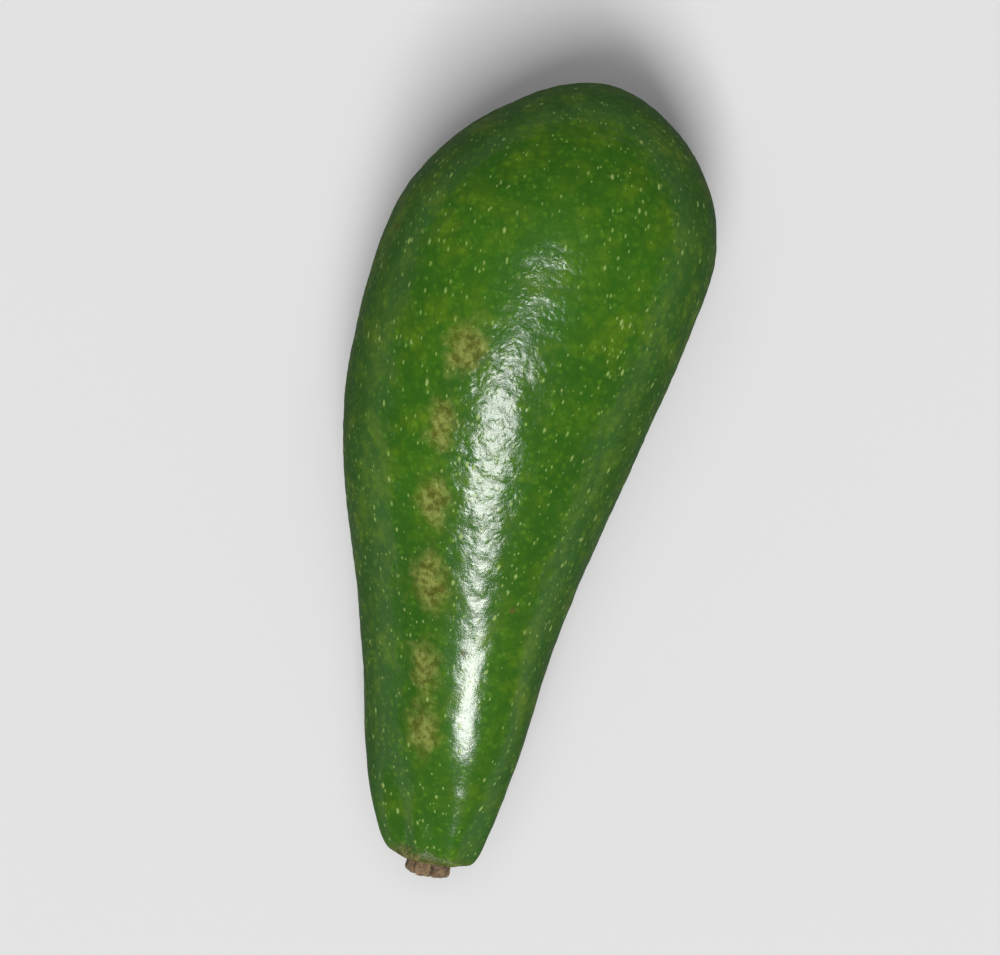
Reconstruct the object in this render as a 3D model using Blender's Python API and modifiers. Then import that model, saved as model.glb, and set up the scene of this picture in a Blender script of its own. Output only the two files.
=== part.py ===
"""Avocado: one whole long-necked fruit lying on its side, with the woody button of its stem.

Metres, +Z up. The long axis runs along Y, with the blossom end at +Y and the stem end at -Y. The
origin is under the middle of the whole object's box, on the surface that the fruit rests on.

Each piece is first turned upright about Z, with the stem end's crest at height 0 and the blossom tip
at FRUIT_LENGTH. It is then bowed like the real fruit and laid down in the fruit's own balance.
"""

import math

import bmesh
import bpy
from mathutils import Matrix, Vector
from mathutils.geometry import interpolate_bezier

MM = 0.001

# The fruit, upright
FRUIT_LENGTH = 120.0 * MM
BELLY_DIAMETER = 49.3 * MM
BELLY_FROM_BLOSSOM = 26.7 * MM
NECK_DIAMETER = 26.6 * MM
NECK_FROM_CREST = 27.4 * MM
NECK_TAPER = math.radians(9.6)
COLLAR_DIAMETER = 16.7 * MM
COLLAR_FROM_CREST = 6.0 * MM
COLLAR_TAPER = math.radians(18.8)
CREST_DIAMETER = 9.6 * MM
FLATNESS = 0.97  # height over width of a lying fruit's section

# How full the outline is between its widest points: handle lengths as shares of each stretch
BLOSSOM_FULLNESS = 0.33
SHOULDER_FULLNESS = 0.595
WAIST_FULLNESS = 0.505
NECK_FULLNESS = 0.357
COLLAR_FULLNESS = 0.325
CREST_FULLNESS = 0.60

# The bow of the middle line, seen from above: towards +X at both ends, towards -X at the waist.
# Places along the fruit are shares of its length, counted from the blossom tip.
BLOSSOM_LEAN = 6.1 * MM
BLOSSOM_LEAN_FROM = 0.66
WAIST_BOW = 1.8 * MM
WAIST_BOW_MIDDLE = 0.487
WAIST_BOW_REACH = 0.383
STEM_LEAN = 1.7 * MM
STEM_LEAN_FROM = 0.86

# The dimple at the stem end's crest, and the woody button that sits in it
SEAT_DIAMETER = 7.2 * MM
SEAT_DEPTH = 2.0 * MM
SEAT_RIM_FULLNESS = 0.55
SEAT_GAP = 0.3 * MM
BUTTON_PROUD = 2.2 * MM
BUTTON_HEAD_DIAMETER = 7.0 * MM
BUTTON_FACE_DIAMETER = 5.0 * MM
BUTTON_FACE_DISH = 0.3 * MM
BUTTON_SHOULDER = 0.7 * MM

# Where the fruit rests
FLAT_SPOT_DEPTH = 0.6 * MM
STEEPEST_REST = math.radians(25.0)
BALANCE_STEPS = 40

# Fineness
FRUIT_SEGMENTS = 60
BUTTON_SEGMENTS = 28
SPAN_POINTS = 14
SMALL_SPAN_POINTS = 4
BALANCE_POINTS = 200
MERGE_DISTANCE = 0.01 * MM
SHARP_ANGLE = math.radians(35.0)

FRUIT_COLOUR = (0.055, 0.160, 0.012, 1.0)
FRUIT_ROUGHNESS = 0.34
WOOD_COLOUR = (0.150, 0.085, 0.038, 1.0)
WOOD_ROUGHNESS = 0.80


def clear_scene():
    for obj in list(bpy.data.objects):
        bpy.data.objects.remove(obj, do_unlink=True)


def make_collection(name):
    collection = bpy.data.collections.new(name)
    bpy.context.scene.collection.children.link(collection)
    return collection


def make_material(name, colour, roughness):
    material = bpy.data.materials.new(name)
    material.use_nodes = True
    shader = material.node_tree.nodes["Principled BSDF"]
    shader.inputs["Base Color"].default_value = colour
    shader.inputs["Roughness"].default_value = roughness
    shader.inputs["Metallic"].default_value = 0.0
    return material


def within_unit(value):
    return min(1.0, max(0.0, value))


def on_outline(radius, height):
    """A point of a turned outline, on the +X side."""
    return Vector((radius, 0.0, height))


def through_spans(spans, end):
    """The points along cubic spans (start, its handle, end's handle, end, points), then one last point."""
    points = []
    for start, start_handle, end_handle, span_end, count in spans:
        points += interpolate_bezier(start, start_handle, end_handle, span_end, count + 1)[:-1]
    return points + [end]


def body_outline(count):
    """The fruit's outer line, from the blossom tip down to the stem end's crest."""
    belly_radius = BELLY_DIAMETER / 2
    neck_radius = NECK_DIAMETER / 2
    collar_radius = COLLAR_DIAMETER / 2
    crest_radius = CREST_DIAMETER / 2
    blossom = on_outline(0.0, FRUIT_LENGTH)
    belly = on_outline(belly_radius, FRUIT_LENGTH - BELLY_FROM_BLOSSOM)
    neck = on_outline(neck_radius, NECK_FROM_CREST)
    collar = on_outline(collar_radius, COLLAR_FROM_CREST)
    crest = on_outline(crest_radius, 0.0)
    waist_length = (belly - neck).length
    neck_length = (neck - collar).length
    up_neck = on_outline(math.sin(NECK_TAPER), math.cos(NECK_TAPER))
    up_collar = on_outline(math.sin(COLLAR_TAPER), math.cos(COLLAR_TAPER))
    spans = [
        (
            blossom,
            blossom + on_outline(belly_radius * BLOSSOM_FULLNESS, 0.0),
            belly + on_outline(0.0, BELLY_FROM_BLOSSOM * SHOULDER_FULLNESS),
            belly,
            count,
        ),
        (
            belly,
            belly - on_outline(0.0, waist_length * WAIST_FULLNESS),
            neck + up_neck * waist_length * NECK_FULLNESS,
            neck,
            count,
        ),
        (
            neck,
            neck - up_neck * neck_length * COLLAR_FULLNESS,
            collar + up_collar * neck_length * COLLAR_FULLNESS,
            collar,
            count // 2,
        ),
        (
            collar,
            collar - up_collar * COLLAR_FROM_CREST * CREST_FULLNESS,
            crest + on_outline((collar_radius - crest_radius) * CREST_FULLNESS, 0.0),
            crest,
            count // 2,
        ),
    ]
    return through_spans(spans, crest)


def seat_outline():
    """The dimple's line, from the crest over its round rim and down the wall to the floor's middle."""
    crest = on_outline(CREST_DIAMETER / 2, 0.0)
    corner = on_outline(SEAT_DIAMETER / 2, SEAT_DEPTH)
    rim = (
        crest,
        crest - on_outline((CREST_DIAMETER - SEAT_DIAMETER) / 2 * SEAT_RIM_FULLNESS, 0.0),
        corner - on_outline(0.0, SEAT_DEPTH * SEAT_RIM_FULLNESS),
        corner,
        SMALL_SPAN_POINTS,
    )
    return through_spans([rim], corner) + [on_outline(0.0, SEAT_DEPTH)]


def button_outline():
    """The button's line, from its inner end in the dimple out to its cut face, which is dished."""
    root_radius = SEAT_DIAMETER / 2 - SEAT_GAP
    root_height = SEAT_DEPTH - SEAT_GAP
    root_middle = on_outline(0.0, root_height)
    root = on_outline(root_radius, root_height)
    head = on_outline(BUTTON_HEAD_DIAMETER / 2, -BUTTON_PROUD + BUTTON_SHOULDER)
    face = on_outline(BUTTON_FACE_DIAMETER / 2, -BUTTON_PROUD)
    stalk_length = (root - head).length
    stalk = (
        root,
        root - on_outline(0.0, stalk_length / 2),
        head + on_outline(0.0, stalk_length / 4),
        head,
        SMALL_SPAN_POINTS,
    )
    shoulder = (
        head,
        head - on_outline(0.0, BUTTON_SHOULDER / 2),
        face + on_outline((head.x - face.x) / 2, 0.0),
        face,
        SMALL_SPAN_POINTS,
    )
    dished_middle = on_outline(0.0, -BUTTON_PROUD + BUTTON_FACE_DISH)
    return [root_middle] + through_spans([stalk, shoulder], face) + [dished_middle]


def turned(name, outline, segments):
    """The closed mesh of an outline turned about Z by a Screw modifier."""
    profile = bpy.data.meshes.new(name + "_outline")
    edges = [(index, index + 1) for index in range(len(outline) - 1)]
    profile.from_pydata(outline, edges, [])
    obj = bpy.data.objects.new(name + "_outline", profile)
    bpy.context.scene.collection.objects.link(obj)
    screw = obj.modifiers.new("Turn", "SCREW")
    screw.axis = "Z"
    screw.angle = math.tau
    screw.steps = segments
    screw.render_steps = segments
    screw.use_merge_vertices = True
    screw.merge_threshold = MERGE_DISTANCE
    depsgraph = bpy.context.evaluated_depsgraph_get()
    mesh = bpy.data.meshes.new_from_object(obj.evaluated_get(depsgraph))
    mesh.name = name
    bpy.data.objects.remove(obj, do_unlink=True)
    return mesh


def lean_at(height):
    """How far the fruit's middle line stands off its straight axis, towards +X, at a height."""
    from_blossom = 1.0 - height / FRUIT_LENGTH
    blossom_share = within_unit((BLOSSOM_LEAN_FROM - from_blossom) / BLOSSOM_LEAN_FROM)
    waist_share = 1.0 - within_unit(abs(from_blossom - WAIST_BOW_MIDDLE) / WAIST_BOW_REACH)
    stem_share = within_unit((from_blossom - STEM_LEAN_FROM) / (1.0 - STEM_LEAN_FROM))
    blossom = BLOSSOM_LEAN * blossom_share**2
    waist = WAIST_BOW * math.sin(waist_share * math.pi / 2) ** 2
    stem = STEM_LEAN * stem_share**2
    return blossom - waist + stem


def bow(mesh):
    """Flattens a turned mesh and shifts each section to the fruit's bowed middle line."""
    for vertex in mesh.vertices:
        vertex.co.x += lean_at(vertex.co.z)
        vertex.co.y *= FLATNESS


def centre_of_mass(mesh):
    """The middle of a closed mesh's volume, from the tetrahedra that its triangles span."""
    mesh.calc_loop_triangles()
    volume = 0.0
    moment = Vector()
    for triangle in mesh.loop_triangles:
        a, b, c = (mesh.vertices[index].co for index in triangle.vertices)
        part = a.dot(b.cross(c)) / 6
        volume += part
        moment += (a + b + c) / 4 * part
    return moment / volume


def laid_down(pitch):
    """Turns upright Z to +Y, then lowers the stem end at -Y by the pitch."""
    return Matrix.Rotation(pitch - math.radians(90.0), 4, "X")


def flat_spot(pitch):
    """The flat spot on a fruit laid down at this pitch: the Y of its two ends, and its Z."""
    turn = laid_down(pitch)
    underside = [
        turn @ Vector((0.0, point.x * FLATNESS, point.z)) for point in body_outline(BALANCE_POINTS)
    ]
    level = min(point.z for point in underside) + FLAT_SPOT_DEPTH
    cut = [point.y for point in underside if point.z < level]
    return min(cut), max(cut), level


def balanced_pitch(middle):
    """The pitch at which the flat spot's middle is under the centre of mass, by bisection."""
    low, high = -STEEPEST_REST, STEEPEST_REST
    for _ in range(BALANCE_STEPS):
        pitch = (low + high) / 2
        near, far, _ = flat_spot(pitch)
        overhang = (laid_down(pitch) @ middle).y - (near + far) / 2
        if overhang < 0:
            low = pitch
        else:
            high = pitch
    return (low + high) / 2


def cut_flat(mesh, level):
    """Cuts a closed mesh flat at a height and closes the cut."""
    cutting = bmesh.new()
    cutting.from_mesh(mesh)
    everything = cutting.verts[:] + cutting.edges[:] + cutting.faces[:]
    bmesh.ops.bisect_plane(
        cutting,
        geom=everything,
        dist=MERGE_DISTANCE,
        plane_co=(0.0, 0.0, level),
        plane_no=(0.0, 0.0, -1.0),
        clear_outer=True,
    )
    rim = [edge for edge in cutting.edges if edge.is_boundary]
    bmesh.ops.edgeloop_fill(cutting, edges=rim)
    bmesh.ops.recalc_face_normals(cutting, faces=cutting.faces[:])
    cutting.to_mesh(mesh)
    cutting.free()


def middle_of_box(meshes):
    """The middle, in X and Y, of the box around some meshes."""
    corners = [vertex.co for mesh in meshes for vertex in mesh.vertices]
    middle_x = (min(co.x for co in corners) + max(co.x for co in corners)) / 2
    middle_y = (min(co.y for co in corners) + max(co.y for co in corners)) / 2
    return middle_x, middle_y


def add_part(mesh, collection, material):
    """A named object for a finished mesh, shaded smooth except over its sharp edges."""
    obj = bpy.data.objects.new(mesh.name, mesh)
    collection.objects.link(obj)
    mesh.materials.append(material)
    mesh.shade_smooth()
    mesh.set_sharp_from_angle(angle=SHARP_ANGLE)
    return obj


def build_avocado():
    clear_scene()
    fruit = turned("fruit", body_outline(SPAN_POINTS) + seat_outline()[1:], FRUIT_SEGMENTS)
    stem_button = turned("stem_button", button_outline(), BUTTON_SEGMENTS)
    pieces = [fruit, stem_button]
    for mesh in pieces:
        bow(mesh)

    pitch = balanced_pitch(centre_of_mass(fruit))
    for mesh in pieces:
        mesh.transform(laid_down(pitch))
    level = flat_spot(pitch)[2]
    cut_flat(fruit, level)

    middle_x, middle_y = middle_of_box(pieces)
    for mesh in pieces:
        mesh.transform(Matrix.Translation((-middle_x, -middle_y, -level)))

    avocado = make_collection("avocado")
    add_part(fruit, avocado, make_material("skin", FRUIT_COLOUR, FRUIT_ROUGHNESS))
    add_part(stem_button, avocado, make_material("stem_wood", WOOD_COLOUR, WOOD_ROUGHNESS))


build_avocado()
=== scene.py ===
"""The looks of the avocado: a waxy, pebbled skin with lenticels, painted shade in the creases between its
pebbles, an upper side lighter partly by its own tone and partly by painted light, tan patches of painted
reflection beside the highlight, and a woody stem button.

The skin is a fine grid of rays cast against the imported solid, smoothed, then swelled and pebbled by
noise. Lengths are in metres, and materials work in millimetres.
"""

import math

import bpy
import numpy as np
from mathutils import Matrix, Vector, noise
from mathutils.bvhtree import BVHTree


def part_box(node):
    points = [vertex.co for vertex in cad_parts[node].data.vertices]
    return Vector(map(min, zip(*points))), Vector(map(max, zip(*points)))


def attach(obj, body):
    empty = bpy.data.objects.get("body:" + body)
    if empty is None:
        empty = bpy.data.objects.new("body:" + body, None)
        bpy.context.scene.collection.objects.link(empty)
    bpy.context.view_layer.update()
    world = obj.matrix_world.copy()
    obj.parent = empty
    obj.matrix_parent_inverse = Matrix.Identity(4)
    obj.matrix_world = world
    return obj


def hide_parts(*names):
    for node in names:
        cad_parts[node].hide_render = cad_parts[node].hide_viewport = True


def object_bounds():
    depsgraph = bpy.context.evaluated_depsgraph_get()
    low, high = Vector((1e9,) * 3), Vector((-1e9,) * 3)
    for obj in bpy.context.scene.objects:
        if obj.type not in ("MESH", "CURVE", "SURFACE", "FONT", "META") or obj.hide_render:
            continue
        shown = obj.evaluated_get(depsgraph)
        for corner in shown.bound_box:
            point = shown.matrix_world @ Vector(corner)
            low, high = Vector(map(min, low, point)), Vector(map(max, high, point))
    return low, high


MM = 0.001

# The skin's grid: rows from the blossom tip over the body and the stem end's crest into the dimple
SKIN_SEGMENTS = 280
BLOSSOM_ROWS = 84
BODY_ROWS = 200
COLLAR_ROWS = 46
MOUTH_ROWS = 22
BLOSSOM_CENTRE_INSET = 27.0 * MM
STEM_CENTRE_INSET = 10.0 * MM
MOUTH_FIRST_TILT = math.radians(-7.0)
CENTRING_ROUNDS = 3
RIM_SEARCH_RADIUS = 12.0 * MM
RIM_SEARCH_STEPS = 240
SMOOTH_ROWS = 5.0
SMOOTH_ANGLE = math.radians(4.5)
MAP_MARGIN = 0.004

# Relief of the skin: wavelength and height of each layer. A crease's width is a share of a pebble's
# size, and the scar is full and gone at two distances from the blossom tip.
SWELL = (30.0 * MM, 0.40 * MM)
DENTS = (8.0 * MM, 0.14 * MM)
PEBBLES = (2.4 * MM, 0.055 * MM)
CREASE_WIDTH = 0.6
NECK_PEBBLES_LOST = 0.75
NECK_RIDGES = 7
NECK_RIDGE_HEIGHT = 0.22 * MM
NECK_RIDGE_WOBBLE = (14.0 * MM, 2.5)
SCAR_DEPTH = 0.4 * MM
SCAR_FADES = (0.52 * MM, 2.08 * MM)

# Where an effect starts and is complete, as shares of the way down the skin to the stem end's crest
PEBBLES_WEAKEN = (0.60, 0.90)
RIDGES_RISE = (0.84, 0.97)
RELIEF_FADES = (0.985, 1.0)

# The neck's upper half is a slanting oval: proud on one side of the top and flatter on the other, more
# so near the stem end, where the top also falls away. Stretches are shares of the fruit's length from
# the blossom end.
NECK_OVAL = 0.9 * MM
NECK_OVAL_RISES = (0.46, 0.74)
NECK_END_OVAL = 0.8 * MM
NECK_END_OVAL_RISES = (0.70, 0.84)
NECK_END_OVAL_FADES = (0.90, 0.97)
NECK_END_FALL = 0.9 * MM
NECK_END_FALL_RISES = (0.84, 0.92)

# The upward part of the skin's normal over which an effect of the upper half comes in
OVAL_FACING = (-0.8, 0.1)
FALL_FACING = (0.0, 0.9)
# Where the upper side's lighter green comes in: partly the sun side's own tone, partly painted light from
# above
LIT_TOP_AND_SUN_SIDE_FACING = (0.1, 1.0)

# Tan patches of painted reflection in a row beside the fruit's crest line, from the belly down the neck.
# Places are shares of the fruit's length, sizes are half a patch's length and width, and a spread is a
# random value's range.
REFLECTION_PATCHES = 6
REFLECTION_SEED = 8
FIRST_REFLECTION = 0.375
REFLECTION_STEP = 0.091
REFLECTION_STEP_SPREAD = (-0.010, 0.010)
REFLECTION_ANGLE = math.radians(160.0)
REFLECTION_ANGLE_SPREAD = (math.radians(-5.0), math.radians(3.0))
REFLECTION_SIZE = (4.9 * MM, 3.2 * MM)
REFLECTION_LENGTH_SPREAD = (0.75, 1.15)
REFLECTION_WIDTH_SPREAD = (0.8, 1.2)
REFLECTION_STRENGTH_SPREAD = (0.90, 1.0)
REFLECTION_GIRTH_REACH = 0.02

# The stem button: radii as shares of the CAD button's, and the shoulder as a share of its height. A
# wobble is a noise's wavelength and how far it bends grooves or cracks, in radians. Relief is full
# where the button stands out of the dimple's mouth.
BUTTON_SEGMENTS = 144
BUTTON_ROOT_RINGS = (0.0, 0.25, 0.5, 0.75, 0.9, 0.97)
BUTTON_STALK_RINGS = 16
BUTTON_SHOULDER_RINGS = 9
BUTTON_FACE_RINGS = 20
BUTTON_ROOT = 0.92
BUTTON_FOOT = 0.93
BUTTON_TOP = 0.98
BUTTON_FACE = 0.74
BUTTON_FACE_FIRST_RING = 0.94 * BUTTON_FACE
BUTTON_SHOULDER = 0.20
BUTTON_HOLLOW = 0.12 * MM
BUTTON_GROOVES = 11
BUTTON_GROOVE_DEPTH = 0.16 * MM
BUTTON_GROOVE_SHARPNESS = 0.7
BUTTON_GROOVE_WOBBLE = (3.0 * MM, 1.5)
BUTTON_GROOVES_DEEPEN = (0.30, 0.95)
BUTTON_CRACKS = 7
BUTTON_CRACK_DEPTH = 0.24 * MM
BUTTON_CRACK_WIDTH = 0.20
BUTTON_CRACK_WOBBLE = (1.8 * MM, 0.7)
BUTTON_CRACKS_DEEPEN = (0.10, 0.45)
BUTTON_BARK = (1.6 * MM, 0.14 * MM)
BUTTON_SUNK_RELIEF = 0.25
BUTTON_RELIEF_RISES = (-0.6 * MM, 0.2 * MM)

# Fine relief of the materials, in millimetres
GRAIN_HEIGHT = 0.030
PEBBLE_HEIGHT = 0.024
LENTICEL_HEIGHT = 0.012
CORK_HEIGHT = 0.20
BARK_HEIGHT = 0.25
BARK_GRAIN_HEIGHT = 0.10

# Lenticels: spacing in millimetres, largest size as a share of it, and strength of each layer
LENTICELS = ((0.9, 0.18, 0.50), (1.7, 0.14, 0.66))

# Colours: linear red, green and blue, and opacity
DEEP_GREEN = (0.016, 0.064, 0.004, 1.0)
# Green of the upper side: partly the sun side's own tone, partly painted light from above
LIT_TOP_AND_SUN_SIDE_GREEN = (0.027, 0.102, 0.005, 1.0)
OLIVE = (0.112, 0.184, 0.006, 1.0)
END_GREEN = (0.023, 0.088, 0.006, 1.0)
PEBBLE_GREEN = (0.102, 0.225, 0.012, 1.0)
# Painted shade for the creases between the pebbles
CREASE_SHADE_GREEN = (0.018, 0.070, 0.005, 1.0)
LENTICEL_CREAM = (0.290, 0.400, 0.115, 1.0)
# Tan of the patches of painted reflection beside the highlight
REFLECTION_BROWN = (0.075, 0.070, 0.012, 1.0)
REFLECTION_TAN = (0.215, 0.240, 0.060, 1.0)
RUSSET = (0.085, 0.070, 0.024, 1.0)
CORK_BROWN = (0.050, 0.042, 0.014, 1.0)
CORK_TAN = (0.185, 0.150, 0.068, 1.0)
BARK_BROWN = (0.060, 0.036, 0.018, 1.0)
BARK_TAN = (0.200, 0.128, 0.062, 1.0)
BARK_DUST = (0.300, 0.220, 0.125, 1.0)
CRACK_BROWN = (0.022, 0.013, 0.007, 1.0)
FLOOR_GREY = (0.56, 0.56, 0.56, 1.0)
ROOM_WHITE = (0.96, 0.98, 1.0, 1.0)
BACKDROP_GREY = (0.77, 0.775, 0.78, 1.0)

# Floor, camera and light
FLOOR_RADIUS = 2.0
FLOOR_SIDES = 96
CAMERA_ELEVATION = math.radians(85.0)
FRUIT_LEAN_IN_PICTURE = math.radians(10.7)
CAMERA_DISTANCE = 0.46
CAMERA_LENS_MM = 111.0
CAMERA_CLIP = (0.01, 20.0)
KEY_DISTANCE = 8.0
KEY_TILT = math.radians(30.5)
KEY_SIDE = math.radians(4.0)
KEY_TURN = math.radians(34.0)
KEY_SIZE = (2.37, 3.60)
KEY_POWER = 740.0
FILL_HEIGHT = 5.0
FILL_SIZE = (4.0, 4.0)
FILL_POWER = 90.0
ROOM_STRENGTH = 0.11

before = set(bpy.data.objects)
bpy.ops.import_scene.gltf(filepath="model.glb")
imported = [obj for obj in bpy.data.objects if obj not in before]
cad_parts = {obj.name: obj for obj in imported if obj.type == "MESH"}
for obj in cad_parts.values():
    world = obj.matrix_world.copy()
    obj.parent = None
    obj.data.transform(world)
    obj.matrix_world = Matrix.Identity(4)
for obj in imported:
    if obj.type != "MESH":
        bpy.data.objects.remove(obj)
cad_low, cad_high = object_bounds()


def coarse(count):
    return count


def unit(vector):
    return vector / np.linalg.norm(vector)


def smooth_step(value, start, end):
    """0 up to the start, 1 from the end on, and a smooth rise between."""
    share = np.clip((value - start) / (end - start), 0.0, 1.0)
    return share * share * (3.0 - 2.0 * share)


# ---------------------------------------------------------------------------------------------
# The skin's grid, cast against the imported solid


def solid_of(node):
    """A ray-castable tree of a CAD node, and its points."""
    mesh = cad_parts[node].data
    points = np.array([vertex.co for vertex in mesh.vertices])
    polygons = [list(polygon.vertices) for polygon in mesh.polygons]
    return BVHTree.FromPolygons([Vector(point) for point in points], polygons), points


def cast(tree, origin, direction):
    """The point where a ray meets the solid, and the surface normal there."""
    place, normal, _, _ = tree.ray_cast(Vector(origin), Vector(direction))
    return np.array(place), np.array(normal)


def middle_of_section(tree, point):
    """The middle of the fruit's section square to Y at a point inside it, found in a few rounds."""
    point = np.array(point, float)
    for _ in range(CENTRING_ROUNDS):
        for axis in (0, 2):
            way = np.zeros(3)
            way[axis] = 1.0
            ahead, _ = cast(tree, point, way)
            behind, _ = cast(tree, point, -way)
            point[axis] = (ahead[axis] + behind[axis]) / 2
    return point


def landmarks(tree, points):
    """Where the grid's rays start and end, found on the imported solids."""
    button_low, button_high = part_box("stem_button")
    button = (np.array(button_low) + np.array(button_high)) / 2
    floor_point, out = cast(tree, button, (0.0, 1.0, 0.0))
    seat_floor = button + out * np.dot(floor_point - button, out)
    crest_height = np.max((points - seat_floor) @ out)
    low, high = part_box("fruit")
    belly = middle_of_section(tree, (0.0, high.y - BLOSSOM_CENTRE_INSET, (low.z + high.z) / 2))
    return {
        "tip": points[np.argmax(points[:, 1])],
        "belly": belly,
        "stem": seat_floor - out * STEM_CENTRE_INSET,
        "seat_floor": seat_floor,
        "mouth": seat_floor + out * crest_height,
        "out": out,
    }


def spine(marks, shares):
    """Points and directions along a cubic middle line, from the belly's middle to the stem's."""
    start, end = marks["belly"], marks["stem"]
    reach = np.linalg.norm(end - start) / 3
    first = start + unit(start - marks["tip"]) * reach
    second = end - marks["out"] * reach
    t = shares[:, None]
    rest = 1 - t
    places = rest**3 * start + 3 * rest**2 * t * first + 3 * rest * t**2 * second + t**3 * end
    ways = rest**2 * (first - start) + 2 * rest * t * (second - first) + t**2 * (end - second)
    return places, ways / np.linalg.norm(ways, axis=1)[:, None]


def rim_radius(tree, marks):
    """How far from the dimple's axis the stem end's crest stands highest."""
    side = unit(np.cross(marks["out"], (0.0, 0.0, 1.0)))
    above = marks["mouth"] + marks["out"] * MM
    steps = np.linspace(0.0, RIM_SEARCH_RADIUS, RIM_SEARCH_STEPS)
    heights = []
    for step in steps:
        place = tree.ray_cast(Vector(above + side * step), Vector(-marks["out"]))[0]
        missed = place is None
        heights.append(-math.inf if missed else np.dot(np.array(place) - marks["mouth"], marks["out"]))
    return steps[int(np.argmax(heights))]


def ray_rows(tree, marks):
    """Each row's origin, its axis towards the stem, and its rays' tilt from square to that axis."""
    places, ways = spine(marks, np.linspace(0.0, 1.0, coarse(BODY_ROWS)))
    blossom_tilts = np.linspace(-math.pi / 2, 0.0, coarse(BLOSSOM_ROWS), endpoint=False)
    crest_reach = np.dot(marks["mouth"] - marks["stem"], marks["out"])
    rim_angle = math.atan2(rim_radius(tree, marks), crest_reach)
    collar_tilts = np.linspace(0.0, math.pi / 2 - rim_angle, coarse(COLLAR_ROWS) + 1)[1:]
    mouth_tilts = np.linspace(MOUTH_FIRST_TILT, -math.pi / 2, coarse(MOUTH_ROWS))
    outer = [(places[0], ways[0], tilt) for tilt in blossom_tilts]
    outer += [(place, way, 0.0) for place, way in zip(places, ways)]
    outer += [(places[-1], ways[-1], tilt) for tilt in collar_tilts]
    inner = [(marks["mouth"], marks["out"], tilt) for tilt in mouth_tilts]
    return outer, inner


def directions(axis, tilt, angles):
    """Unit rays round an axis, from straight down over the left side, with a tilt along the axis."""
    side = unit(np.cross(axis, (0.0, 0.0, 1.0)))
    over = np.cross(side, axis)
    radial = np.outer(-np.cos(angles), over) + np.outer(np.sin(angles), side)
    return radial * math.cos(tilt) + axis * math.sin(tilt)


def cast_rows(tree, rows, angles):
    """Distances and directions of each row's rays."""
    ways = np.array([directions(axis, tilt, angles) for _, axis, tilt in rows])
    reach = np.empty(ways.shape[:2])
    for row, (origin, _, _) in enumerate(rows):
        start = Vector(origin)
        for column in range(len(angles)):
            reach[row, column] = tree.ray_cast(start, Vector(ways[row, column]))[3]
    return reach, ways


def blur(field, width, axis):
    """A Gaussian blur of this standard width in cells; columns wrap and rows must be padded."""
    kernel_reach = int(math.ceil(width * 3))
    offsets = np.arange(-kernel_reach, kernel_reach + 1)
    weights = np.exp(-0.5 * (offsets / width) ** 2)
    weights /= weights.sum()
    blurred = np.zeros_like(field)
    for offset, weight in zip(offsets, weights):
        blurred += weight * np.roll(field, offset, axis=axis)
    return blurred


def smoothed(reach):
    """Takes the solid's facets out of a distance field. Before the pole, rows go on over its far side."""
    rows, columns = reach.shape
    pad = int(SMOOTH_ROWS * 4)
    before = np.roll(reach[1 : pad + 1][::-1], columns // 2, axis=1)
    slope = reach[-1] - reach[-2]
    after = reach[-1] + slope * np.arange(1, pad + 1)[:, None]
    padded = np.vstack([before, reach, after])
    padded = blur(padded, SMOOTH_ANGLE / math.tau * columns, 1)
    padded = blur(padded, SMOOTH_ROWS / (1), 0)
    return padded[pad : pad + rows]


def ray_ends(rows, reach, ways):
    """The points where each row's rays end."""
    origins = np.array([origin for origin, _, _ in rows])
    return origins[:, None] + ways * reach[:, :, None]


def skin_grid():
    """The smooth skin as rows of points, the row on the crest, the landmarks, and each column's angle."""
    tree, points = solid_of("fruit")
    marks = landmarks(tree, points)
    angles = np.arange(coarse(SKIN_SEGMENTS)) / coarse(SKIN_SEGMENTS) * math.tau
    outer, inner = ray_rows(tree, marks)
    outer_reach, outer_ways = cast_rows(tree, outer, angles)
    inner_reach, inner_ways = cast_rows(tree, inner, angles)
    body = ray_ends(outer, smoothed(outer_reach), outer_ways)
    dimple = ray_ends(inner, inner_reach, inner_ways)
    return np.vstack([body, dimple]), len(outer) - 1, marks, angles


# ---------------------------------------------------------------------------------------------
# Meshes from grids, and values at their vertices


def distances_down(grid):
    """Each row's mean distance from the first row, along the surface."""
    steps = np.linalg.norm(np.diff(grid, axis=0), axis=2).mean(axis=1)
    return np.concatenate([[0.0], np.cumsum(steps)])


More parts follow.
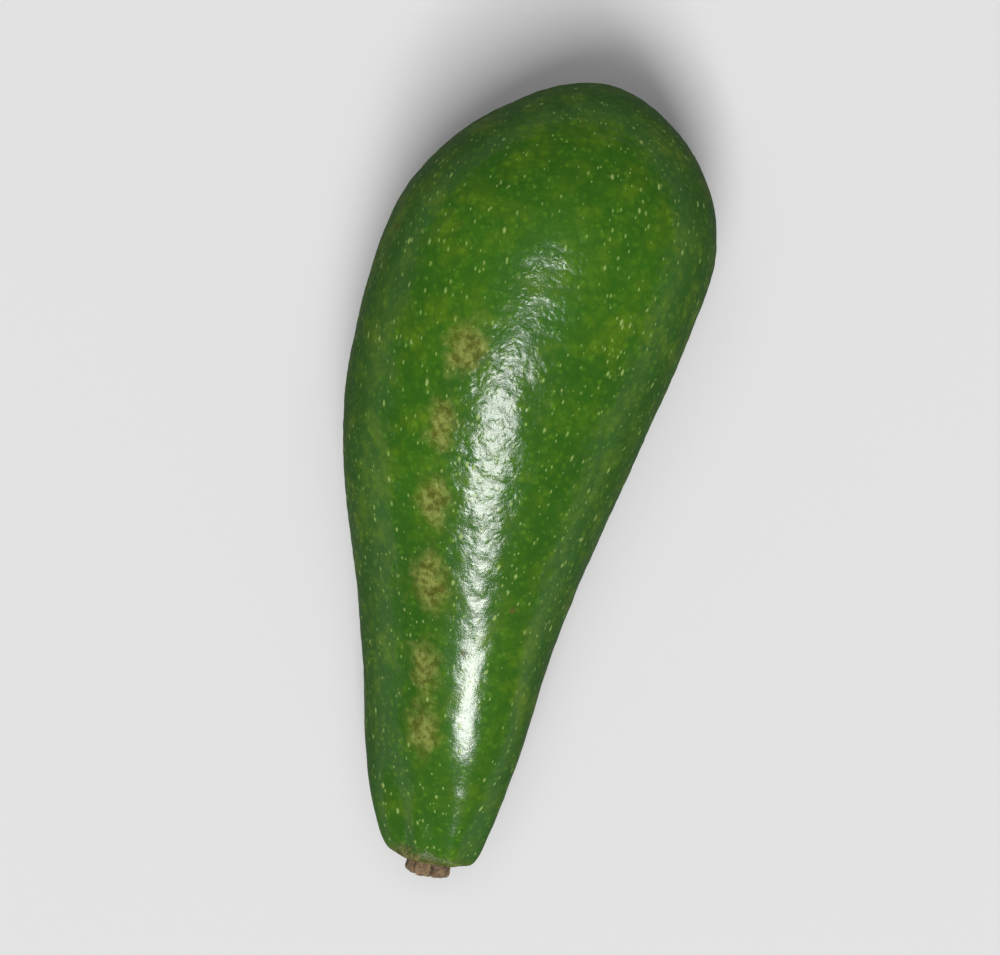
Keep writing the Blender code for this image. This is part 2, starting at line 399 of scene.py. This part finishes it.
def grid_mesh(name, grid):
    """A closed mesh of rows of points whose first and last rows are poles, with an OFBake map."""
    rows, columns, _ = grid.shape
    points = np.vstack([grid[0, :1], grid[1:-1].reshape(-1, 3), grid[-1, :1]])
    last = len(points) - 1
    row_shares = distances_down(grid) / distances_down(grid)[-1]
    faces, map_points = [], []

    def index(row, column):
        return 1 + (row - 1) * columns + column % columns

    def on_map(row, column):
        across = MAP_MARGIN + (1 - 2 * MAP_MARGIN) * column / columns
        return across, MAP_MARGIN + (1 - 2 * MAP_MARGIN) * row_shares[row]

    for column in range(columns):
        corners = ((1, column), (1, column + 1))
        faces.append((0, *(index(*corner) for corner in corners)))
        map_points += [on_map(0, column + 0.5), *(on_map(*corner) for corner in corners)]
    for row in range(1, rows - 2):
        for column in range(columns):
            corners = ((row, column), (row + 1, column), (row + 1, column + 1), (row, column + 1))
            faces.append(tuple(index(*corner) for corner in corners))
            map_points += [on_map(*corner) for corner in corners]
    for column in range(columns):
        corners = ((rows - 2, column + 1), (rows - 2, column))
        faces.append((last, *(index(*corner) for corner in corners)))
        map_points += [on_map(rows - 1, column + 0.5), *(on_map(*corner) for corner in corners)]
    mesh = bpy.data.meshes.new(name)
    mesh.from_pydata(points, [], faces)
    layer = mesh.uv_layers.new(name="OFBake")
    layer.data.foreach_set("uv", np.array(map_points, np.float32).ravel())
    mesh.shade_smooth()
    return mesh


def at_vertices(mesh, quantity):
    """A mesh's vertex positions ("co") or outward directions ("normal")."""
    found = np.empty(len(mesh.vertices) * 3, np.float32)
    mesh.vertices.foreach_get(quantity, found)
    return found.reshape(-1, 3).astype(float)


def move_vertices(mesh, points):
    mesh.vertices.foreach_set("co", points.astype(np.float32).ravel())
    mesh.update()


def per_vertex(rows, columns, values):
    """Row by column values as one value per vertex, with one at each pole."""
    field = np.broadcast_to(values, (rows, columns))
    return np.concatenate([field[0, :1], field[1:-1].ravel(), field[-1, :1]])


def write_attribute(mesh, name, values):
    attribute = mesh.attributes.new(name, "FLOAT", "POINT")
    attribute.data.foreach_set("value", values.astype(np.float32))


def placed(mesh):
    """A new object that shows a mesh, under the mesh's name."""
    shown = bpy.data.objects.new(mesh.name, mesh)
    bpy.context.scene.collection.objects.link(shown)
    return shown


def noise_at(points, wavelength, octaves, seed):
    """Smooth noise, about -1 to 1, of a wavelength; each further octave is half as long and high."""
    shift = Vector((seed * 17.3, seed * 5.1, seed * 9.7))
    total = np.zeros(len(points))
    for octave in range(octaves):
        scale = 2**octave / wavelength
        layer = [noise.noise(Vector(point) * scale + shift) for point in points]
        total += np.array(layer) / 2**octave
    return total


def pebbles_at(points, wavelength, seed):
    """Round bumps, 1 at their tops and 0 in the creases between them."""
    shift = Vector((seed, seed * 2.0, seed * 3.0))
    nearest, second = np.empty(len(points)), np.empty(len(points))
    for index, point in enumerate(points):
        distances, _ = noise.voronoi(Vector(point) / wavelength + shift, distance_metric="DISTANCE")
        nearest[index], second[index] = distances[:2]
    return smooth_step(second - nearest, 0.0, CREASE_WIDTH)


# ---------------------------------------------------------------------------------------------
# The skin's shape


def neck_shape(outward, around, down_length):
    """Height of the slanting oval on the neck's upper half, less the top's fall near the stem end."""
    end_oval = smooth_step(down_length, *NECK_END_OVAL_RISES) * NECK_END_OVAL
    end_oval *= 1.0 - smooth_step(down_length, *NECK_END_OVAL_FADES)
    height = smooth_step(down_length, *NECK_OVAL_RISES) * NECK_OVAL + end_oval
    oval = np.sin(2.0 * around) * height * smooth_step(outward[:, 2], *OVAL_FACING)
    fall = smooth_step(outward[:, 2], *FALL_FACING) * NECK_END_FALL
    return oval - fall * smooth_step(down_length, *NECK_END_FALL_RISES)


def neck_ridges(points, along, around):
    """Faint ridges that run down the last of the neck to the stem end."""
    bend = noise_at(points, NECK_RIDGE_WOBBLE[0], octaves=1, seed=4.0) * NECK_RIDGE_WOBBLE[1]
    return smooth_step(along, *RIDGES_RISE) * np.cos(around * NECK_RIDGES + bend) * NECK_RIDGE_HEIGHT


def painted_reflections(points, around, down_length, length):
    """Soft oval patches of painted reflection, 1 at their middles, uneven in place, size and strength."""
    reflection_patch = np.zeros(len(points))
    dice = np.random.default_rng(REFLECTION_SEED)
    for mark in range(REFLECTION_PATCHES):
        share = FIRST_REFLECTION + REFLECTION_STEP * mark + dice.uniform(*REFLECTION_STEP_SPREAD)
        angle = REFLECTION_ANGLE + dice.uniform(*REFLECTION_ANGLE_SPREAD)
        near = np.abs(down_length - share) < REFLECTION_GIRTH_REACH
        radius = np.ptp(points[near, 0]) / 2
        far_along = (down_length - share) * length / (REFLECTION_SIZE[0] * dice.uniform(*REFLECTION_LENGTH_SPREAD))
        far_around = (around - angle) * radius / (REFLECTION_SIZE[1] * dice.uniform(*REFLECTION_WIDTH_SPREAD))
        strength = dice.uniform(*REFLECTION_STRENGTH_SPREAD)
        reflection_patch = np.maximum(reflection_patch, np.exp(-(far_along**2) - far_around**2) * strength)
    return reflection_patch


def make_skin():
    """The skin as one closed mesh, with attributes that steer its material, and the landmarks."""
    grid, crest_row, marks, angles = skin_grid()
    rows, columns, _ = grid.shape
    mesh = grid_mesh("avocado_skin", grid)
    points = at_vertices(mesh, "co")
    outward = at_vertices(mesh, "normal")
    distances = distances_down(grid)
    along = per_vertex(rows, columns, (distances / distances[crest_row])[:, None])
    around = per_vertex(rows, columns, angles[None, :])
    length = cad_high[1] - cad_low[1]
    down_length = (cad_high[1] - points[:, 1]) / length

    swell = -noise_at(points, SWELL[0], octaves=2, seed=1.0) * SWELL[1]
    dents = -noise_at(points, DENTS[0], octaves=3, seed=2.0) * DENTS[1]
    pebbles = pebbles_at(points, PEBBLES[0], seed=3.0)
    pebbled = (pebbles - 0.5) * PEBBLES[1]
    pebbled *= 1.0 - NECK_PEBBLES_LOST * smooth_step(along, *PEBBLES_WEAKEN)
    relief = swell + dents + pebbled + neck_ridges(points, along, around)
    relief += neck_shape(outward, around, down_length)
    relief *= 1.0 - smooth_step(along, *RELIEF_FADES)
    scar = 1.0 - smooth_step(np.linalg.norm(points - marks["tip"], axis=1), *SCAR_FADES)
    points = points + outward * (relief - scar * SCAR_DEPTH)[:, None]
    points[:, 2] = np.maximum(points[:, 2], 0.0)
    move_vertices(mesh, points)

    write_attribute(mesh, "along", along)
    # The pebbles' height, which also steers the painted shade in their creases
    write_attribute(mesh, "pebble", pebbles)
    # Where the tan patches of painted reflection lie beside the highlight
    write_attribute(mesh, "reflection_patch", painted_reflections(points, around, down_length, length))
    write_attribute(mesh, "scar", scar)
    # How far the skin faces up, which steers the upper side's lighter green: partly its own tone, partly
    # painted light
    write_attribute(mesh, "upward", smooth_step(outward[:, 2], *LIT_TOP_AND_SUN_SIDE_FACING))
    return placed(mesh), marks


# ---------------------------------------------------------------------------------------------
# The stem button


def button_outline(radius, low, high):
    """Each ring's radius and height: the root's underside, the stalk, a round shoulder and the face."""
    shoulder_height = (high - low) * BUTTON_SHOULDER
    root = [(share * radius * BUTTON_ROOT, low) for share in BUTTON_ROOT_RINGS]
    stalk = []
    for share in np.linspace(0, 1, BUTTON_STALK_RINGS):
        taper = BUTTON_FOOT + (BUTTON_TOP - BUTTON_FOOT) * share
        stalk.append((radius * taper, low + (high - low - shoulder_height) * share))
    shoulder = []
    for turn in np.linspace(0.0, math.pi / 2, BUTTON_SHOULDER_RINGS + 1)[1:]:
        inward = (BUTTON_TOP - BUTTON_FACE) * (1 - math.cos(turn))
        shoulder.append((radius * (BUTTON_TOP - inward), high - shoulder_height * (1 - math.sin(turn))))
    face = []
    for ring in np.linspace(BUTTON_FACE_FIRST_RING, 0.0, BUTTON_FACE_RINGS):
        face.append((radius * ring, high - BUTTON_HOLLOW * (1 - ring / BUTTON_FACE)))
    return root + stalk + shoulder + face


def make_button(marks):
    """A woody stub on the CAD button's axis and of its size, grooved lengthwise and split on its face."""
    _, cad_points = solid_of("stem_button")
    base, out = marks["seat_floor"], marks["out"]
    heights = (cad_points - base) @ out
    radius = np.max(np.linalg.norm(cad_points - base - np.outer(heights, out), axis=1))
    outline = button_outline(radius, heights.min(), heights.max())
    side = unit(np.cross(out, (0.0, 0.0, 1.0)))
    angles = np.arange(BUTTON_SEGMENTS) / BUTTON_SEGMENTS * math.tau
    ring = np.outer(np.cos(angles), side) + np.outer(np.sin(angles), np.cross(side, out))
    grid = np.array([base + out * height + ring * ring_radius for ring_radius, height in outline])
    mesh = grid_mesh("woody_stem_button", grid)
    points = at_vertices(mesh, "co")
    outward = at_vertices(mesh, "normal")

    around = per_vertex(len(outline), BUTTON_SEGMENTS, angles[None, :])
    ring_shares = np.array([ring_radius for ring_radius, _ in outline]) / radius
    from_axis = per_vertex(len(outline), BUTTON_SEGMENTS, ring_shares[:, None])
    proud = smooth_step((points - marks["mouth"]) @ out, *BUTTON_RELIEF_RISES)
    groove_bend = noise_at(points, BUTTON_GROOVE_WOBBLE[0], octaves=1, seed=5.0) * BUTTON_GROOVE_WOBBLE[1]
    grooves = np.abs(np.sin(around * BUTTON_GROOVES / 2 + groove_bend)) ** BUTTON_GROOVE_SHARPNESS
    grooves *= smooth_step(from_axis, *BUTTON_GROOVES_DEEPEN)
    crack_bend = noise_at(points, BUTTON_CRACK_WOBBLE[0], octaves=2, seed=7.0) * BUTTON_CRACK_WOBBLE[1]
    crack_wave = np.sin(around * BUTTON_CRACKS / 2 + crack_bend)
    cracks = np.exp(-((crack_wave / BUTTON_CRACK_WIDTH) ** 2)) * proud
    cracks *= smooth_step(from_axis, *BUTTON_CRACKS_DEEPEN)
    relief = noise_at(points, BUTTON_BARK[0], octaves=3, seed=6.0) * BUTTON_BARK[1]
    relief -= grooves * BUTTON_GROOVE_DEPTH + cracks * BUTTON_CRACK_DEPTH
    relief *= BUTTON_SUNK_RELIEF + (1.0 - BUTTON_SUNK_RELIEF) * proud
    move_vertices(mesh, points + outward * relief[:, None])
    write_attribute(mesh, "crack", cracks)
    return placed(mesh)


# ---------------------------------------------------------------------------------------------
# Materials


class Shader:
    """A material's node tree, with short calls for the nodes used here. Patterns work in millimetres."""

    def __init__(self, name):
        self.material = bpy.data.materials.new(name)
        self.material.use_nodes = True
        self.tree = self.material.node_tree
        self.surface = self.tree.nodes["Principled BSDF"]
        place = self.tree.nodes.new("ShaderNodeTexCoord").outputs["Object"]
        self.place = self.vector("SCALE", place, scale=1.0 / MM)

    def put(self, socket, value):
        """Links a socket to another, or sets its value."""
        if isinstance(value, bpy.types.NodeSocket):
            self.tree.links.new(value, socket)
        else:
            socket.default_value = value

    def set(self, name, value):
        """Links or sets a socket of the surface."""
        self.put(self.surface.inputs[name], value)

    def vector(self, operation, first, second=None, scale=None):
        node = self.tree.nodes.new("ShaderNodeVectorMath")
        node.operation = operation
        self.put(node.inputs[0], first)
        if second is not None:
            self.put(node.inputs[1], second)
        if scale is not None:
            self.put(node.inputs["Scale"], scale)
        return node.outputs[0]

    def math(self, operation, first, second):
        node = self.tree.nodes.new("ShaderNodeMath")
        node.operation = operation
        self.put(node.inputs[0], first)
        self.put(node.inputs[1], second)
        return node.outputs[0]

    def times(self, first, second):
        return self.math("MULTIPLY", first, second)

    def plus(self, first, second):
        return self.math("ADD", first, second)

    def noise_node(self, wavelength, detail, roughness, distortion):
        node = self.tree.nodes.new("ShaderNodeTexNoise")
        self.put(node.inputs["Vector"], self.place)
        node.inputs["Scale"].default_value = 1.0 / wavelength
        node.inputs["Detail"].default_value = detail
        node.inputs["Roughness"].default_value = roughness
        node.inputs["Distortion"].default_value = distortion
        return node

    def noise(self, wavelength, detail=2.0, roughness=0.5, distortion=0.0):
        """Noise from 0 to 1 with features of a wavelength in millimetres."""
        return self.noise_node(wavelength, detail, roughness, distortion).outputs["Fac"]

    def warped(self, wavelength, reach):
        """The place, pushed about by noise so that cells come out uneven."""
        colours = self.noise_node(wavelength, 2.0, 0.5, 0.0).outputs["Color"]
        centred = self.vector("SUBTRACT", colours, (0.5, 0.5, 0.5))
        return self.vector("ADD", self.place, self.vector("SCALE", centred, scale=reach))

    def cells(self, wavelength, place=None):
        """A Voronoi pattern's distance and its cells' random colour."""
        node = self.tree.nodes.new("ShaderNodeTexVoronoi")
        self.put(node.inputs["Vector"], place or self.place)
        node.inputs["Scale"].default_value = 1.0 / wavelength
        return node.outputs["Distance"], node.outputs["Color"]

    def attribute(self, name):
        node = self.tree.nodes.new("ShaderNodeAttribute")
        node.attribute_name = name
        return node.outputs["Fac"]

    def facing(self):
        """0 where the surface faces the viewer and 1 where it turns away, for gloss at grazing angles."""
        node = self.tree.nodes.new("ShaderNodeLayerWeight")
        node.inputs["Blend"].default_value = 0.5
        return node.outputs["Facing"]

    def spread(self, value, start, end, low=0.0, high=1.0):
        """Takes start to low and end to high, smoothly, and holds beyond them."""
        node = self.tree.nodes.new("ShaderNodeMapRange")
        node.interpolation_type = "SMOOTHSTEP"
        self.put(node.inputs["Value"], value)
        self.put(node.inputs["From Min"], start)
        self.put(node.inputs["From Max"], end)
        node.inputs["To Min"].default_value = low
        node.inputs["To Max"].default_value = high
        return node.outputs["Result"]

    def mix(self, share, first, second):
        """A colour between two. The node's inputs 6 and 7 and output 2 are its colour sockets."""
        node = self.tree.nodes.new("ShaderNodeMix")
        node.data_type = "RGBA"
        self.put(node.inputs[0], share)
        self.put(node.inputs[6], first)
        self.put(node.inputs[7], second)
        return node.outputs[2]

    def bump(self, height_mm):
        node = self.tree.nodes.new("ShaderNodeBump")
        node.inputs["Distance"].default_value = MM
        self.put(node.inputs["Height"], height_mm)
        return node.outputs["Normal"]


def ground_colour(shader, along):
    """Deep green below and at the ends, lighter in clouds on the upper side, with olive mottling. The
    lighter upper side is partly the sun side's own tone and partly painted light from above, with painted
    shade on the flanks.
    """
    clouds = shader.noise(24.0, 3.0, 0.55)
    # Lighter upper side: partly the sun side's own tone, partly painted light from above and painted
    # shade on the flanks
    lit_top_and_sun_side = shader.times(shader.attribute("upward"), shader.spread(clouds, 0.30, 0.60, 0.35, 1.0))
    ground = shader.mix(lit_top_and_sun_side, DEEP_GREEN, LIT_TOP_AND_SUN_SIDE_GREEN)
    mottle = shader.spread(shader.noise(5.0, 6.0, 0.70, distortion=0.3), 0.40, 0.72)
    olive = shader.times(mottle, shader.spread(clouds, 0.32, 0.62, 0.25, 0.62))
    ground = shader.mix(olive, ground, OLIVE)
    ends = shader.plus(shader.spread(along, 0.14, 0.02), shader.spread(along, 0.86, 0.98))
    return shader.mix(shader.times(ends, 0.50), ground, END_GREEN)


def with_pebbles(shader, ground):
    """Lightens each fine pebble and paints shade into the creases between the mesh's pebbles. Also gives
    the fine pebbles' height.
    """
    pebble, pebble_dice = shader.cells(1.0, shader.warped(1.6, 1.5))
    crest = shader.spread(pebble, 0.62, 0.10)
    tint = shader.times(crest, shader.spread(pebble_dice, 0.2, 1.0, 0.0, 0.45))
    ground = shader.mix(tint, ground, PEBBLE_GREEN)
    # Painted shade, darkest in the creases between the mesh's pebbles
    crease = shader.spread(shader.attribute("pebble"), 0.45, 0.0, 0.0, 0.35)
    return shader.mix(crease, ground, CREASE_SHADE_GREEN), crest


def with_lenticels(shader, ground):
    """Dense fine flecks with larger ones between, longer down the fruit, uneven in size and strength."""
    lengthwise = shader.vector("MULTIPLY", shader.place, (1.0, 0.50, 1.0))
    layers = []
    for spacing, largest, strength in LENTICELS:
        fleck, fleck_dice = shader.cells(spacing, lengthwise)
        ragged = shader.plus(fleck, shader.times(shader.noise(0.5), 0.10))
        size = shader.spread(fleck_dice, 0.20, 0.95, 0.05, largest)
        outside = shader.spread(ragged, size, shader.plus(size, 0.13))
        lenticel = shader.times(shader.math("SUBTRACT", 1.0, outside), strength)
        ground = shader.mix(lenticel, ground, LENTICEL_CREAM)
        layers.append(lenticel)
    return ground, shader.math("MAXIMUM", *layers)


def with_painted_reflections(shader, ground):
    """Mottled tan patches with ragged edges, painted as the reflection of a soft warm light beside the
    highlight.
    """
    edge = shader.plus(shader.attribute("reflection_patch"), shader.times(shader.noise(2.2, 5.0, 0.65), 1.3))
    reflection_patch = shader.spread(edge, 0.80, 1.60, 0.0, 0.80)
    mottle = shader.spread(shader.noise(1.5, 4.0, 0.7), 0.38, 0.62)
    return shader.mix(reflection_patch, ground, shader.mix(mottle, REFLECTION_BROWN, REFLECTION_TAN)), reflection_patch


def with_russet_specks(shader, ground):
    """A few small brown specks, far apart."""
    speck, speck_dice = shader.cells(8.5)
    ragged = shader.plus(speck, shader.times(shader.noise(0.8, 4.0, 0.7), 0.22))
    chosen = shader.spread(speck_dice, 0.55, 0.65)
    russet = shader.times(shader.spread(ragged, 0.20, 0.14, 0.0, 0.70), chosen)
    return shader.mix(russet, ground, RUSSET), russet


def with_cork(shader, ground, along):
    """The corky ring round the stem's seat and the blossom scar. Also gives the cork's grain."""
    cork = shader.noise(0.9, 5.0, 0.7)
    tone = shader.mix(shader.spread(cork, 0.38, 0.62), CORK_BROWN, CORK_TAN)
    ring = shader.spread(shader.plus(along, shader.times(cork, 0.022)), 0.988, 1.012)
    ground = shader.mix(shader.times(ring, 0.85), ground, tone)
    scarred = shader.spread(shader.plus(shader.attribute("scar"), shader.times(cork, 0.9)), 0.75, 1.15)
    ground = shader.mix(shader.times(scarred, 0.9), ground, tone)
    return ground, cork, shader.math("MAXIMUM", ring, scarred)


def set_wax(shader, along, dull):
    """A patchy wax coat, glossier on the neck, dull on marks, and weaker at grazing angles."""
    patchy = shader.spread(shader.noise(3.2, 3.0, 0.6), 0.30, 0.75, 0.30, 0.42)
    shader.set("Roughness", shader.plus(patchy, shader.times(dull, 0.20)))
    shader.set("Specular IOR Level", 0.0)
    clean = shader.math("SUBTRACT", 1.0, dull)
    wax = shader.times(clean, shader.spread(along, 0.48, 0.66, 0.40, 0.53))
    shader.set("Coat Weight", shader.times(wax, shader.spread(shader.facing(), 0.12, 0.60, 1.0, 0.22)))
    shader.set("Coat Roughness", 0.20)
    shader.set("Coat IOR", 1.8)


def skin_material():
    shader = Shader("avocado_skin")
    along = shader.attribute("along")
    ground = ground_colour(shader, along)
    ground, crest = with_pebbles(shader, ground)
    ground, lenticel = with_lenticels(shader, ground)
    ground, reflection_patch = with_painted_reflections(shader, ground)
    ground, russet = with_russet_specks(shader, ground)
    ground, cork, corky = with_cork(shader, ground, along)
    shader.set("Base Color", ground)

    dull = lenticel
    for mark in (reflection_patch, russet, corky):
        dull = shader.math("MAXIMUM", dull, mark)
    set_wax(shader, along, dull)

    # Relief too fine for the mesh, coarser on the belly than on the neck
    belly = shader.spread(along, 0.50, 0.70, 1.0, 0.40)
    height = shader.times(shader.times(crest, belly), PEBBLE_HEIGHT)
    height = shader.plus(height, shader.times(shader.noise(0.45, 4.0, 0.65), GRAIN_HEIGHT))
    height = shader.plus(height, shader.times(lenticel, LENTICEL_HEIGHT))
    height = shader.plus(height, shader.times(shader.times(cork, corky), CORK_HEIGHT))
    normal = shader.bump(height)
    shader.set("Normal", normal)
    shader.set("Coat Normal", normal)
    return shader.material


def wood_material():
    shader = Shader("stem_wood")
    rough = shader.noise(1.1, 5.0, 0.7)
    fine = shader.noise(0.3, 4.0, 0.6)
    bark = shader.mix(shader.spread(rough, 0.35, 0.65), BARK_BROWN, BARK_TAN)
    bark = shader.mix(shader.spread(fine, 0.45, 0.70, 0.0, 0.6), bark, BARK_DUST)
    bark = shader.mix(shader.times(shader.attribute("crack"), 0.85), bark, CRACK_BROWN)
    shader.set("Base Color", bark)
    shader.set("Roughness", 0.82)
    height = shader.plus(shader.times(rough, BARK_HEIGHT), shader.times(fine, BARK_GRAIN_HEIGHT))
    shader.set("Normal", shader.bump(height))
    return shader.material


def floor_material():
    shader = Shader("pale_floor")
    shader.set("Base Color", FLOOR_GREY)
    shader.set("Roughness", 0.7)
    shader.set("Specular IOR Level", 0.0)
    return shader.material


# ---------------------------------------------------------------------------------------------
# Floor, light and camera


def make_floor():
    bpy.ops.mesh.primitive_circle_add(vertices=FLOOR_SIDES, radius=FLOOR_RADIUS, fill_type="NGON")
    floor = bpy.context.object
    floor.name = "floor"
    floor.data.materials.append(floor_material())


def aimed(obj, place, target, up):
    """Places an object so that its -Z looks at a target with its Y towards up."""
    back = unit(np.array(place) - np.array(target))
    right = unit(np.cross(up, back))
    matrix = np.eye(4)
    matrix[:3] = np.column_stack([right, np.cross(back, right), back, place])
    obj.matrix_world = Matrix(matrix)
    return obj


def make_light(name, place, target, size, power, up=(0.0, 1.0, 0.0)):
    data = bpy.data.lights.new(name, "AREA")
    data.shape = "RECTANGLE"
    data.size, data.size_y = size
    data.energy = power
    light = bpy.data.objects.new(name, data)
    bpy.context.scene.collection.objects.link(light)
    return aimed(light, place, target, up)


def make_world():
    """A pale studio: pale behind the floor, but dim as a light, so that the skin's colour stays deep."""
    world = bpy.data.worlds.new("studio")
    world.use_nodes = True
    tree = world.node_tree
    room = tree.nodes["Background"]
    room.inputs["Color"].default_value = ROOM_WHITE
    room.inputs["Strength"].default_value = ROOM_STRENGTH
    backdrop = tree.nodes.new("ShaderNodeBackground")
    backdrop.inputs["Color"].default_value = BACKDROP_GREY
    path = tree.nodes.new("ShaderNodeLightPath")
    choice = tree.nodes.new("ShaderNodeMixShader")
    tree.links.new(path.outputs["Is Camera Ray"], choice.inputs[0])
    tree.links.new(room.outputs[0], choice.inputs[1])
    tree.links.new(backdrop.outputs[0], choice.inputs[2])
    tree.links.new(choice.outputs[0], tree.nodes["World Output"].inputs["Surface"])
    bpy.context.scene.world = world


def make_camera(middle):
    up = np.array([-math.sin(FRUIT_LEAN_IN_PICTURE), math.cos(FRUIT_LEAN_IN_PICTURE), 0.0])
    back = np.array([0.0, 0.0, math.sin(CAMERA_ELEVATION)]) - up * math.cos(CAMERA_ELEVATION)
    data = bpy.data.cameras.new("camera")
    data.lens = CAMERA_LENS_MM
    data.clip_start, data.clip_end = CAMERA_CLIP
    camera = bpy.data.objects.new("camera", data)
    bpy.context.scene.collection.objects.link(camera)
    aimed(camera, middle + back * CAMERA_DISTANCE, middle, up)
    bpy.context.scene.camera = camera


skin, fruit_marks = make_skin()
skin.data.materials.append(skin_material())
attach(skin, "root")
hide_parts("fruit")

stub = make_button(fruit_marks)
stub.data.materials.append(wood_material())
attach(stub, "root")
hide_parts("stem_button")

make_floor()
make_world()
object_middle = (np.array(cad_low) + np.array(cad_high)) / 2
key_way = unit(np.array([math.tan(KEY_SIDE), -math.tan(KEY_TILT), 1.0]))
key_up = (-math.sin(KEY_TURN), math.cos(KEY_TURN), 0.0)
make_light("key", object_middle + key_way * KEY_DISTANCE, object_middle, KEY_SIZE, KEY_POWER, key_up)
fill_place = object_middle + np.array([0.0, 0.0, FILL_HEIGHT])
fill = make_light("fill", fill_place, object_middle, FILL_SIZE, FILL_POWER)
fill.visible_glossy = False
make_camera(object_middle)
bpy.context.scene.view_settings.view_transform = "Standard"
